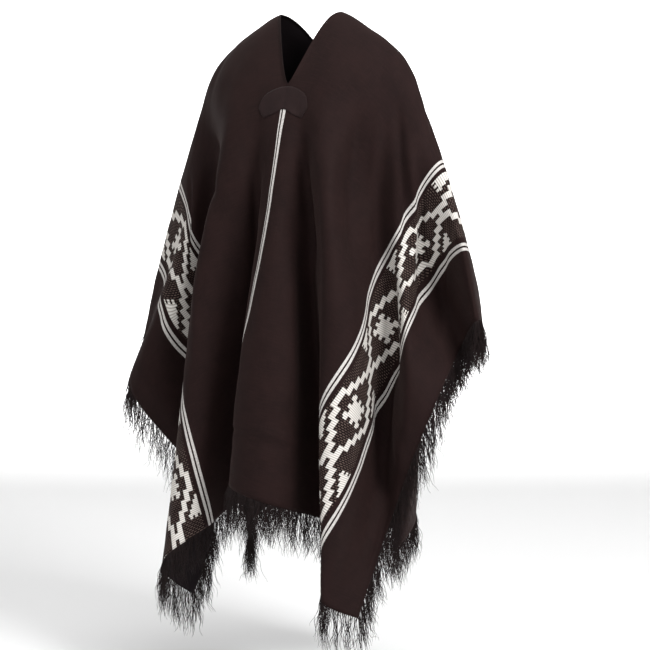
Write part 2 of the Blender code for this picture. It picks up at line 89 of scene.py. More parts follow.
# ---------------------------------------------------------- front fold table
# sections at t = -0.18 (breast), -0.42 (waist), -0.68 (thigh), -0.95 (edge)
FRONT_SECTIONS = (-0.18, -0.42, -0.68, -0.95)
FRONT_FOLDS = [
    # s      x,y breast        x,y waist         x,y thigh         x,y edge         what the line is
    (-0.73, -0.366, -0.030,  -0.350, -0.112,  -0.222, -0.038,  -0.204, -0.110),  # right selvedge
    (-0.66, -0.342, -0.040,  -0.306, -0.120,  -0.186, -0.022,  -0.222, -0.164),
    (-0.58, -0.314, -0.040,  -0.262, -0.078,  -0.172, -0.062,  -0.205, -0.218),  # outer stripe
    (-0.50, -0.276, -0.050,  -0.226, -0.028,  -0.200, -0.122,  -0.160, -0.234),
    (-0.42, -0.244, -0.066,  -0.180, -0.038,  -0.182, -0.182,  -0.125, -0.175),  # inner stripe
    (-0.34, -0.226, -0.060,  -0.168, -0.100,  -0.128, -0.178,  -0.118, -0.105),
    (-0.26, -0.202, -0.030,  -0.152, -0.160,  -0.098, -0.112,  -0.066, -0.080),  # left-hand valley
    (-0.18, -0.154, -0.084,  -0.092, -0.142,  -0.050, -0.086,  -0.014, -0.084),
    (-0.11, -0.100, -0.112,  -0.055, -0.106,  -0.025, -0.124,   0.004, -0.124),
    (-0.05, -0.038, -0.108,  -0.027, -0.140,  -0.048, -0.160,  -0.036, -0.152),
    ( 0.00,  0.016, -0.104,   0.010, -0.166,  -0.028, -0.198,  -0.054, -0.192),  # centre stripe
    ( 0.05,  0.067, -0.108,   0.040, -0.160,   0.012, -0.224,  -0.038, -0.234),
    ( 0.11,  0.110, -0.112,   0.064, -0.112,   0.064, -0.204,   0.014, -0.254),  # middle ridge
    ( 0.18,  0.160, -0.088,   0.104, -0.144,   0.070, -0.142,   0.072, -0.226),
    ( 0.26,  0.205, -0.066,   0.154, -0.176,   0.086, -0.098,   0.080, -0.152),
    ( 0.34,  0.250, -0.078,   0.186, -0.136,   0.124, -0.146,   0.104, -0.096),  # right-hand valley
    ( 0.42,  0.268, -0.052,   0.186, -0.082,   0.148, -0.208,   0.160, -0.080),  # inner stripe
    ( 0.50,  0.270, -0.018,   0.206, -0.036,   0.194, -0.198,   0.198, -0.112),
    ( 0.58,  0.284,  0.018,   0.256, -0.086,   0.196, -0.132,   0.171, -0.162),  # outer stripe
    ( 0.66,  0.316,  0.012,   0.296, -0.112,   0.202, -0.076,   0.160, -0.226),
    ( 0.73,  0.344,  0.006,   0.334, -0.094,   0.245, -0.085,   0.214, -0.180),  # left selvedge
]

# ----------------------------------------------------------- back fold table
# sections at t = 0.18 (shoulder blade), 0.42 (waist), 0.64 (seat), 0.85 (edge)
BACK_SECTIONS = (0.18, 0.42, 0.64, 0.85)
BACK_FOLDS = [
    # s      x,y blade         x,y waist         x,y seat          x,y edge
    (-0.73, -0.360,  0.072,  -0.272,  0.006,  -0.186,  0.046,  -0.195,  0.095),  # right selvedge
    (-0.66, -0.340,  0.092,  -0.246,  0.016,  -0.222,  0.084,  -0.225,  0.145),
    (-0.58, -0.310,  0.104,  -0.205,  0.020,  -0.235,  0.140,  -0.200,  0.200),
    (-0.50, -0.270,  0.090,  -0.210,  0.075,  -0.205,  0.185,  -0.140,  0.190),  # right ridge
    (-0.42, -0.242,  0.052,  -0.237,  0.126,  -0.155,  0.155,  -0.125,  0.130),
    (-0.34, -0.200,  0.034,  -0.197,  0.162,  -0.138,  0.102,  -0.086,  0.082),  # right valley
    (-0.26, -0.168,  0.068,  -0.152,  0.122,  -0.084,  0.078,  -0.040,  0.115),
    (-0.18, -0.148,  0.112,  -0.112,  0.090,  -0.086,  0.116,  -0.080,  0.152),
    (-0.11, -0.100,  0.104,  -0.100,  0.130,  -0.100,  0.165,  -0.095,  0.205),
    (-0.05, -0.046,  0.104,  -0.050,  0.155,  -0.050,  0.195,  -0.045,  0.225),
    ( 0.00,  0.000,  0.100,   0.000,  0.150,   0.000,  0.186,   0.000,  0.215),  # centre of the back
    ( 0.05,  0.046,  0.104,   0.050,  0.158,   0.050,  0.200,   0.045,  0.235),
    ( 0.11,  0.100,  0.102,   0.100,  0.135,   0.100,  0.175,   0.100,  0.215),
    ( 0.18,  0.152,  0.106,   0.112,  0.094,   0.088,  0.122,   0.084,  0.158),
    ( 0.26,  0.184,  0.066,   0.160,  0.120,   0.082,  0.082,   0.040,  0.122),
    ( 0.34,  0.208,  0.020,   0.200,  0.155,   0.130,  0.090,   0.076,  0.070),  # left valley
    ( 0.42,  0.250,  0.018,   0.240,  0.115,   0.145,  0.130,   0.098,  0.110),
    ( 0.50,  0.280,  0.044,   0.215,  0.060,   0.172,  0.166,   0.118,  0.174),  # left ridge
    ( 0.58,  0.304,  0.070,   0.200,  0.005,   0.200,  0.116,   0.150,  0.182),
    ( 0.66,  0.326,  0.082,   0.232, -0.022,   0.206,  0.066,   0.164,  0.134),
    ( 0.73,  0.342,  0.064,   0.256, -0.046,   0.190,  0.030,   0.150,  0.098),  # left selvedge
]

# -------------------------------------------------------- where the folds run
# the place across the cloth of each fold at each section.  The folds hang
# down, so on the slanting sides of the cloth they drift towards the selvedge.
FOLD_PLACES = [
    # t       outer    ridge   inner   middle  inner   ridge   outer
    #         valley           valley          valley          valley
    (-0.95, (-0.710, -0.520, -0.260,  0.090,  0.340,  0.640,  0.715)),
    (-0.68, (-0.660, -0.380, -0.200,  0.060,  0.250,  0.440,  0.670)),
    (-0.42, (-0.460, -0.260, -0.110,  0.020,  0.110,  0.260,  0.480)),
    (-0.18, (-0.270, -0.120, -0.050,  0.000,  0.050,  0.120,  0.280)),
    ( 0.00, (-0.300, -0.140, -0.060,  0.000,  0.060,  0.140,  0.320)),
    ( 0.18, (-0.340, -0.180, -0.080,  0.000,  0.080,  0.180,  0.380)),
    ( 0.42, (-0.620, -0.340, -0.180,  0.000,  0.180,  0.340,  0.620)),
    ( 0.64, (-0.700, -0.520, -0.270,  0.000,  0.270,  0.500,  0.700)),
    ( 0.85, (-0.712, -0.560, -0.340,  0.000,  0.340,  0.570,  0.712)),
]

# ------------------------------------------------------------- height table
# how far below the neck each section hangs, at places across the cloth
HEIGHT_PLACES = (-0.73, -0.42, -0.18, 0.0, 0.18, 0.42, 0.73)
HEIGHTS = [
    # t        right edge ............ centre ............ left edge
    (-0.95, (-1.160, -1.005, -0.930, -0.904, -0.945, -1.010, -1.150)),
    (-0.68, (-0.955, -0.772, -0.680, -0.645, -0.680, -0.766, -0.945)),
    (-0.42, (-0.755, -0.556, -0.430, -0.380, -0.428, -0.545, -0.740)),
    (-0.18, (-0.668, -0.392, -0.210, -0.140, -0.208, -0.372, -0.630)),
    ( 0.00, (-0.640, -0.336, -0.098,  0.005, -0.092, -0.302, -0.588)),
    ( 0.18, (-0.668, -0.396, -0.220, -0.152, -0.216, -0.372, -0.626)),
    ( 0.42, (-0.785, -0.566, -0.436, -0.396, -0.434, -0.552, -0.762)),
    ( 0.64, (-0.935, -0.750, -0.645, -0.618, -0.645, -0.742, -0.915)),
    ( 0.85, (-1.095, -0.935, -0.845, -0.822, -0.845, -0.930, -1.070)),
]


# ------------------------------------------------------- smooth curves
def spline(knots, values, at):
    """Natural cubic spline through values at knots, read at the places `at`.
    values may have any number of trailing axes."""
    k = np.asarray(knots, float)
    v = np.asarray(values, float)
    at = np.asarray(at, float)
    n = len(k)
    h = np.diff(k)
    a = np.zeros((n, n))
    b = np.zeros((n,) + v.shape[1:])
    a[0, 0] = a[-1, -1] = 1.0
    for i in range(1, n - 1):
        a[i, i - 1], a[i, i], a[i, i + 1] = h[i - 1], 2 * (h[i - 1] + h[i]), h[i]
        b[i] = 6 * ((v[i + 1] - v[i]) / h[i] - (v[i] - v[i - 1]) / h[i - 1])
    m = np.linalg.solve(a, b.reshape(n, -1)).reshape(b.shape)
    i = np.clip(np.searchsorted(k, at, side="right") - 1, 0, n - 2)
    tail = (slice(None),) + (None,) * (v.ndim - 1)
    hi = h[i][tail]
    p = (k[i + 1] - at)[tail] / hi
    q = (at - k[i])[tail] / hi
    return (p * v[i] + q * v[i + 1]
            + ((p ** 3 - p) * m[i] + (q ** 3 - q) * m[i + 1]) * hi * hi / 6)


def even_curve(knots, values, at):
    """Smooth curve through values at knots that never swings past them."""
    k, v = np.asarray(knots, float), np.asarray(values, float)
    at = np.asarray(at, float)
    h, d = np.diff(k), np.diff(v) / np.diff(k)
    m = np.zeros_like(v)
    m[0], m[-1] = d[0], d[-1]
    same = d[:-1] * d[1:] > 0
    w1, w2 = 2 * h[1:] + h[:-1], h[1:] + 2 * h[:-1]
    safe = np.where(same, d[:-1] * d[1:], 1.0)
    m[1:-1] = np.where(same, (w1 + w2) * safe / (w1 * d[1:] + w2 * d[:-1] + (~same)), 0.0)
    i = np.clip(np.searchsorted(k, at, side="right") - 1, 0, len(k) - 2)
    q = (at - k[i]) / h[i]
    return (v[i] * (1 + 2 * q) * (1 - q) ** 2 + m[i] * h[i] * q * (1 - q) ** 2
            + v[i + 1] * q * q * (3 - 2 * q) + m[i + 1] * h[i] * q * q * (q - 1))


def section_places():
    """The fold lines' places s, the sections' places t, and the plan (x, y)
    of each fold line at each section, with the neck opening closed up."""
    s = np.array([row[0] for row in FRONT_FOLDS])
    line = np.array(SHOULDER_LINE)
    # each half has its own row at the slit's edge, where s is 0
    left, right = line[line[:, 1] < 0], line[line[:, 1] > 0]
    top = np.zeros((len(s), 2))
    for i, si in enumerate(s):
        half = left if si < 0 else right
        top[i] = spline(half[:, 0], half[:, 1:], [si])[0]
        top[i, 0] -= math.copysign(1.0, si) * opening(si, 0.0)
    top[s == 0, 0] = 0.0
    plan, t = [], []
    for j, tj in reversed(list(enumerate(FRONT_SECTIONS))):
        t.append(tj)
        plan.append([(r[1 + 2 * j], r[2 + 2 * j]) for r in FRONT_FOLDS])
    t.append(0.0)
    plan.append(top)
    for j, tj in enumerate(BACK_SECTIONS):
        t.append(tj)
        plan.append([(r[1 + 2 * j], r[2 + 2 * j]) for r in BACK_FOLDS])
    return s, np.array(t), np.array([np.asarray(p) for p in plan])


def slit_ease(s, t):
    """1 at the middle of the neck slit, falling to 0 at its two ends; beside
    the slit it runs past the ends more and more softly."""
    raw = 1.0 - abs(t) / (SLIT_FRONT if t < 0 else SLIT_BACK)
    left = math.copysign(abs(raw) ** 0.8, raw)
    soft = min(1.0, abs(s) / 0.10) * 0.35
    full = (1.0 + math.sqrt(1.0 + soft * soft)) / 2
    return (left + math.sqrt(left * left + soft * soft)) / 2 / full


def opening(s, t):
    """How far a point is pushed sideways by the open neck slit; the cloth
    beside it gives way less the further it is from the slit."""
    return NECK_HALF * math.exp(-(s / 0.13) ** 2) * slit_ease(s, t)


def shoulder_drop(s, t):
    """How far the cloth beside the neck lies below a rounded shoulder."""
    u = abs(s) / 0.075
    return SHOULDER_PITCH * u * math.exp((1 - u * u) / 2) * slit_ease(s, t)


def cloth_grid(s_list, t_list, side=None):
    """Points of the cloth's middle surface, indexed [s, t].  side is -1 or 1
    for the two edges of the slit where s is 0."""
    s_rows, t_rows, plan = section_places()
    s_list = np.asarray(s_list, float)
    t_list = np.asarray(t_list, float)
    half = CLOTH_WIDTH / 2
    folds = np.array([(-half, *row[1], half) for row in FOLD_PLACES])
    share = spline(t_rows, np.eye(len(t_rows)), t_list)           # [t, sections]
    xy = np.zeros((len(t_list), len(s_list), 2))
    for j, tj in enumerate(t_list):
        here = [even_curve(t_rows, folds[:, k], [tj])[0] for k in range(folds.shape[1])]
        for section in range(len(t_rows)):
            if abs(share[j, section]) > 1e-9:
                same_fold = even_curve(here, folds[section], s_list)
                xy[j] += share[j, section] * spline(s_rows, plan[section], same_fold)
    heights = np.array([row[1] for row in HEIGHTS])               # [t_rows, places]
    zs = spline(HEIGHT_PLACES, heights.T, s_list)                 # [s, t_rows]
    z = spline([row[0] for row in HEIGHTS], zs.T, t_list)         # [t, s]
    out = np.concatenate([xy, z[..., None]], -1).swapaxes(0, 1)   # [s, t, 3]
    for i, si in enumerate(s_list):
        sign = (side or 1) if si == 0 else math.copysign(1.0, si)
        for j, tj in enumerate(t_list):
            out[i, j, 0] += sign * opening(si, tj)
            out[i, j, 2] -= shoulder_drop(si, tj)
    return out



# ------------------------------------------------------------------ the cloth
HALF = CLOTH_WIDTH / 2
SHELL = 0.0018              # thickness of the shown cloth

# woven layout, measured from the centre line
BAND_IN = 0.428             # figured band, from here ...
BAND_OUT = 0.562            # ... to here
BAND_MID = 0.495
STRIPE_IN = 0.411           # double stripe on the band's inner side
STRIPE_OUT = 0.581          # and on its outer side
REPEAT = 0.195              # one star and its frame, along the cloth
STAR_LEFT = -0.2215         # place of one star along the cloth, left band
STAR_RIGHT = -0.180         # and in the right band


def unit(v):
    return v / np.maximum(np.linalg.norm(v, axis=-1, keepdims=True), 1e-12)


def smooth(x, lo, hi):
    q = np.clip((x - lo) / (hi - lo), 0, 1)
    return q * q * (3 - 2 * q)


def places(cells_s, cells_t):
    """Even places across and along, with the slit's two ends on a row."""
    s = np.linspace(0, HALF, cells_s + 1)
    s = np.concatenate([-s[:0:-1], [0.0, 0.0], s[1:]])
    total = FRONT_LENGTH + BACK_LENGTH
    step = total / cells_t
    parts = []
    for lo, hi in ((-FRONT_LENGTH, -SLIT_FRONT), (-SLIT_FRONT, SLIT_BACK), (SLIT_BACK, BACK_LENGTH)):
        n = max(2, round((hi - lo) / step))
        parts.append(np.linspace(lo, hi, n + 1)[:-1])
    t = np.concatenate(parts + [[BACK_LENGTH]])
    return s, t


def whole_form(s, t):
    """The form at places from places(): the two s = 0 rows are the slit's edges."""
    half = len(s) // 2
    a = cloth_grid(s[:half], t, side=-1)
    b = cloth_grid(s[half:], t, side=1)
    return np.concatenate([a, b], 0)


def weld(points, t):
    """Closes the centre line outside the slit."""
    h = points.shape[0] // 2
    shut = (t <= -SLIT_FRONT + 1e-9) | (t >= SLIT_BACK - 1e-9)
    mean = (points[h - 1, shut] + points[h, shut]) / 2
    points[h - 1, shut] = mean
    points[h, shut] = mean
    return points


def grid_normals(points):
    """Outward normals of a [s, t] grid, with the slit's edges kept apart."""
    h = points.shape[0] // 2
    out = np.zeros_like(points)
    for part in (slice(0, h), slice(h, None)):
        p = points[part]
        ds = np.gradient(p, axis=0)
        dt = np.gradient(p, axis=1)
        out[part] = unit(np.cross(ds, dt))
    return out


# ------------------------------------------------------------ soft creases
# each runs from one flat place to another; bow is how far its middle bends
# across, width is half its soft width, height is + for a ridge, - for a trough
CREASES = [
    # s,     t,      s,     t,      bow,    width,  height
    # front, wearer's right
    (-0.25, -0.15,  -0.19, -0.40,   0.015,  0.015, -0.0060),
    (-0.05, -0.34,  -0.27, -0.72,   0.020,  0.021, -0.0115),
    (-0.11, -0.29,  -0.20, -0.55,   0.010,  0.018,  0.0070),
    (-0.28, -0.46,  -0.36, -0.64,   0.010,  0.015,  0.0040),
    (-0.36, -0.12,  -0.44, -0.30,   0.010,  0.014, -0.0040),
    (-0.46, -0.19,  -0.60, -0.30,   0.006,  0.034,  0.0085),
    (-0.58, -0.30,  -0.68, -0.47,   0.006,  0.020, -0.0030),
    (-0.50, -0.70,  -0.60, -0.84,   0.008,  0.014, -0.0020),
    # front, middle
    ( 0.03, -0.22,   0.17, -0.48,  -0.012,  0.017, -0.0110),
    ( 0.08, -0.48,   0.15, -0.80,   0.008,  0.022,  0.0060),
    ( 0.00, -0.62,   0.03, -0.86,   0.006,  0.015,  0.0050),
    ( 0.15, -0.22,   0.35, -0.56,  -0.014,  0.022,  0.0090),
    # front, wearer's left
    ( 0.17, -0.16,   0.36, -0.44,  -0.010,  0.017, -0.0110),
    ( 0.22, -0.15,   0.42, -0.42,  -0.012,  0.015,  0.0080),
    ( 0.24, -0.10,   0.44, -0.27,   0.006,  0.014, -0.0080),
    ( 0.33, -0.12,   0.54, -0.32,   0.010,  0.014,  0.0090),
    ( 0.42, -0.13,   0.62, -0.33,   0.008,  0.015, -0.0100),
    ( 0.44, -0.33,   0.62, -0.54,   0.008,  0.015, -0.0095),
    ( 0.54, -0.54,   0.71, -0.72,   0.006,  0.017, -0.0095),
    ( 0.57, -0.48,   0.72, -0.61,   0.000,  0.014,  0.0060),
    ( 0.53, -0.08,   0.67, -0.30,   0.008,  0.015, -0.0045),
    ( 0.64, -0.74,   0.71, -0.90,   0.000,  0.014,  0.0035),
    # pulls beside the patch and over the shoulders
    ( 0.06, -0.20,   0.16, -0.13,   0.000,  0.009, -0.0018),
    (-0.06, -0.20,  -0.16, -0.12,   0.000,  0.009, -0.0018),
    ( 0.05, -0.24,   0.13, -0.26,   0.004,  0.010, -0.0020),
    (-0.05, -0.24,  -0.12, -0.27,   0.004,  0.010, -0.0020),
    ( 0.11, -0.02,   0.19, -0.12,   0.004,  0.013, -0.0028),
    (-0.11, -0.02,  -0.20, -0.11,   0.004,  0.013, -0.0028),
    ( 0.28,  0.02,   0.40, -0.05,   0.000,  0.014, -0.0030),
    (-0.28,  0.02,  -0.40, -0.04,   0.000,  0.014, -0.0030),
    # storage press lines near the front edge
    ( 0.02, -0.832,  0.25, -0.822,  0.004,  0.006,  0.0030),
    (-0.04, -0.842,  0.20, -0.846,  0.003,  0.007, -0.0022),
    ( 0.03, -0.906,  0.28, -0.906,  0.000,  0.005,  0.0018),
    # back
    (-0.18,  0.18,  -0.27,  0.54,   0.014,  0.019, -0.0070),
    ( 0.16,  0.15,   0.24,  0.50,   0.014,  0.019, -0.0090),
    ( 0.08,  0.28,   0.11,  0.72,   0.006,  0.020,  0.0070),
    (-0.08,  0.30,  -0.11,  0.74,   0.006,  0.020,  0.0065),
    ( 0.00,  0.34,   0.01,  0.76,   0.004,  0.017, -0.0045),
    ( 0.38,  0.18,   0.55,  0.50,   0.010,  0.017, -0.0065),
    (-0.38,  0.20,  -0.52,  0.48,   0.010,  0.017, -0.0060),
    ( 0.30,  0.14,   0.44,  0.40,   0.010,  0.015,  0.0050),
    (-0.31,  0.15,  -0.44,  0.42,   0.010,  0.015,  0.0050),
    ( 0.56,  0.09,   0.67,  0.34,   0.008,  0.015, -0.0045),
    (-0.56,  0.10,  -0.68,  0.36,   0.008,  0.015, -0.0045),
    ( 0.10, 0.05,    0.20,  0.14,   0.004,  0.013, -0.0028),
    (-0.10, 0.05,   -0.21,  0.15,   0.004,  0.013, -0.0028),
]


def crease_heights(s_list, t_list):
    """Sum of the creases, and the faint unevenness of handwoven cloth."""
    s, t = np.meshgrid(s_list, t_list, indexing="ij")
    total = np.zeros_like(s)
    for s0, t0, s1, t1, bow, width, height in CREASES:
        ds, dt = s1 - s0, t1 - t0
        long = math.hypot(ds, dt)
        u = ((s - s0) * ds + (t - t0) * dt) / long ** 2          # 0..1 along
        aside = (-(s - s0) * dt + (t - t0) * ds) / long
        aside = aside - bow * 4 * np.clip(u, 0, 1) * (1 - np.clip(u, 0, 1))
        ends = smooth(u, -0.12, 0.25) * (1 - smooth(u, 0.70, 1.12))
        soft = width * (0.8 + 0.5 * np.clip(u, 0, 1))
        total += height * ends * np.exp(-(aside / soft) ** 2)
    uneven = (np.sin(s * 61 + 1.7 * np.sin(t * 23)) * np.sin(t * 37 + 1.3 * np.sin(s * 31))
              + 0.6 * np.sin(s * 113 + 2.1 * np.sin(t * 41 + 1)) * np.sin(t * 71 + 0.7))
    return total + 0.00040 * uneven


fine_s, fine_t = places(80, 196)
form = weld(whole_form(fine_s, fine_t), fine_t)
form = weld(form + grid_normals(form) * crease_heights(fine_s, fine_t)[..., None], fine_t)
normals = grid_normals(form)
middle = len(fine_s) // 2


def band_rows(s_list, t_list):
    """Place along the cloth of the band's woven rows, which stay square to
    the band where the hanging cloth has sheared."""
    s_list, t_list = np.asarray(s_list), np.asarray(t_list)
    rows = np.repeat(t_list[None, :], len(s_list), 0)
    for sign in (-1, 1):
        t = np.linspace(-FRONT_LENGTH, BACK_LENGTH, 181)
        inner, mid, outer = (cloth_grid([sign * a], t)[0] for a in (STRIPE_IN, BAND_MID, STRIPE_OUT))
        weft = (outer - inner) / (STRIPE_OUT - STRIPE_IN)
        warp = np.gradient(mid, t, axis=0)
        pace = np.linalg.norm(warp, axis=1)
        slant = (weft * warp).sum(1) / (pace * pace)
        window = np.hanning(15)
        window /= window.sum()
        slant = np.convolve(np.pad(slant, 7, mode="edge"), window, "valid")
        slant = np.clip(slant, -1.6, 1.6)
        slant *= 1 - smooth(np.abs(t), 0.82, 0.95) * 0.9
        on = sign * s_list > 0.2
        turn = np.interp(t_list, t, slant)
        rows[on] += (np.abs(s_list[on]) - BAND_MID)[:, None] * turn[None, :]
        pace = np.convolve(np.pad(pace, 7, mode="edge"), window, "valid")
        length = np.concatenate([[0], np.cumsum((pace[1:] + pace[:-1]) / 2 * np.diff(t))])
        star = STAR_LEFT if sign > 0 else STAR_RIGHT
        rows[on] = np.interp(rows[on], t, length - np.interp(star, t, length))
    return rows


# ------------------------------------------------------------------- meshes
def new_mesh(name, verts, faces, material, smooth_shade=True):
    mesh = bpy.data.meshes.new(name)
    mesh.from_pydata(np.asarray(verts, float).tolist(), [], [tuple(f) for f in faces])
    mesh.update()
    if smooth_shade:
        mesh.polygons.foreach_set("use_smooth", [True] * len(mesh.polygons))
    for m in (material if isinstance(material, (list, tuple)) else [material]):
        mesh.materials.append(m)
    thing = bpy.data.objects.new(name, mesh)
    bpy.context.scene.collection.objects.link(thing)
    return thing


def add_flat(mesh, values):
    """Flat coordinates of every vertex, for the materials."""
    a = mesh.attributes.new("flat", "FLOAT_VECTOR", "POINT")
    a.data.foreach_set("vector", np.asarray(values, np.float32).reshape(-1))


def cloth_object(points, material):
    """The cloth as one closed thin shell with rounded rims; the flat
    coordinates carry the side in their third value: 1 outside, 0 inside."""
    ns, nt = points.shape[:2]
    nrm = grid_normals(points)
    h = ns // 2
    ids = np.arange(ns * nt).reshape(ns, nt)
    # the welded rows of the centre line share their points
    shut = (fine_t <= -SLIT_FRONT + 1e-9) | (fine_t >= SLIT_BACK - 1e-9)
    avg = unit(nrm[h - 1, shut] + nrm[h, shut])
    nrm[h - 1, shut] = avg
    nrm[h, shut] = avg
    ids[h, shut] = ids[h - 1, shut]
    flat = np.stack(np.meshgrid(fine_s, fine_t, indexing="ij") + [np.zeros((ns, nt))], -1).reshape(-1, 3)
    p, n = points.reshape(-1, 3), nrm.reshape(-1, 3)
    outer, inner = p + n * SHELL / 2, p - n * SHELL / 2
    count = ns * nt
    faces = []
    cols = [i for i in range(ns - 1) if i != h - 1]
    for i in cols:
        a, b = ids[i], ids[i + 1]
        for j in range(nt - 1):
            faces.append((a[j], b[j], b[j + 1], a[j + 1]))
    under = [(a + count, d + count, c + count, b + count) for a, b, c, d in faces]
    one = ids[:h].copy()
    front = [ids[i, 0] for i in range(h)] + [ids[i, 0] for i in range(h + 1, ns)]
    back = [ids[i, -1] for i in range(h)] + [ids[i, -1] for i in range(h + 1, ns)]
    loop = front + [ids[-1, j] for j in range(1, nt)] + back[::-1][1:] + [ids[0, j] for j in range(nt - 2, -1, -1)]
    open_rows = np.flatnonzero((fine_t >= -SLIT_FRONT - 1e-9) & (fine_t <= SLIT_BACK + 1e-9))
    slit = [ids[h, j] for j in open_rows] + [ids[h - 1, j] for j in open_rows[::-1][1:]]
    rims = []
    for path in (loop, slit):
        for a, b in zip(path[:-1], path[1:]):
            rims.append((b, a, a + count, b + count))
    verts = np.vstack([outer, inner])
    flats = np.vstack([flat + [0, 0, 1], flat])
    used = np.unique(np.array(faces + under + rims).reshape(-1))
    renumber = np.full(len(verts), -1)
    renumber[used] = np.arange(len(used))
    all_faces = [tuple(renumber[list(f)]) for f in faces + under + rims]
    thing = new_mesh("poncho_cloth", verts[used], all_faces, material)
    add_flat(thing.data, flats[used])
    rows = band_rows(fine_s, fine_t).reshape(-1)
    woven = thing.data.attributes.new("woven", "FLOAT", "POINT")
    woven.data.foreach_set("value", np.concatenate([rows, rows])[used].astype(np.float32))
    return thing


# ---------------------------------------------------------------- materials
class Nodes:
    """A small helper that writes shader arithmetic."""

    def __init__(self, name):
        self.material = bpy.data.materials.new(name)
        self.material.use_nodes = True
        self.tree = self.material.node_tree
        self.bsdf = self.tree.nodes["Principled BSDF"]

    def add(self, kind, **values):
        node = self.tree.nodes.new(kind)
        for k, v in values.items():
            setattr(node, k, v)
        return node

    def feed(self, socket, value):
        if isinstance(value, (int, float)):
            socket.default_value = value
        elif isinstance(value, tuple):
            socket.default_value = value
        else:
            self.tree.links.new(value, socket)

    def math(self, op, a, b=None, c=None, clamp=False):
        node = self.add("ShaderNodeMath", operation=op, use_clamp=clamp)
        for k, v in enumerate((a, b, c)):
            if v is not None:
                self.feed(node.inputs[k], v)
        return node.outputs[0]

    def mul(self, a, b):
        return self.math("MULTIPLY", a, b)

    def plus(self, a, b):
        return self.math("ADD", a, b)

    def minus(self, a, b):
        return self.math("SUBTRACT", a, b)

    def near(self, x, centre, half):
        """1 where x is within half of centre."""
        return self.math("LESS_THAN", self.math("ABSOLUTE", self.minus(x, centre)), half)

    def both(self, *xs):
        out = xs[0]
        for x in xs[1:]:
            out = self.math("MULTIPLY", out, x)
        return out

    def either(self, *xs):
        out = xs[0]
        for x in xs[1:]:
            out = self.math("MAXIMUM", out, x)
        return out

    def mix(self, factor, a, b):
        node = self.add("ShaderNodeMix", data_type="RGBA")
        self.feed(node.inputs[0], factor)
        self.feed(node.inputs[6], a)
        self.feed(node.inputs[7], b)
        return node.outputs[2]

    def noise(self, vector, scale, detail=2.0, rough=0.5):
        node = self.add("ShaderNodeTexNoise")
        self.feed(node.inputs["Vector"], vector)
        node.inputs["Scale"].default_value = scale
        node.inputs["Detail"].default_value = detail
        node.inputs["Roughness"].default_value = rough
        return node.outputs["Fac"]

    def range(self, x, a, b, c, d):
        node = self.add("ShaderNodeMapRange")
        self.feed(node.inputs[0], x)
        for k, v in zip((1, 2, 3, 4), (a, b, c, d)):
            node.inputs[k].default_value = v
        return node.outputs[0]

    def combine(self, x, y, z):
        node = self.add("ShaderNodeCombineXYZ")
        for k, v in enumerate((x, y, z)):
            self.feed(node.inputs[k], v)
        return node.outputs[0]


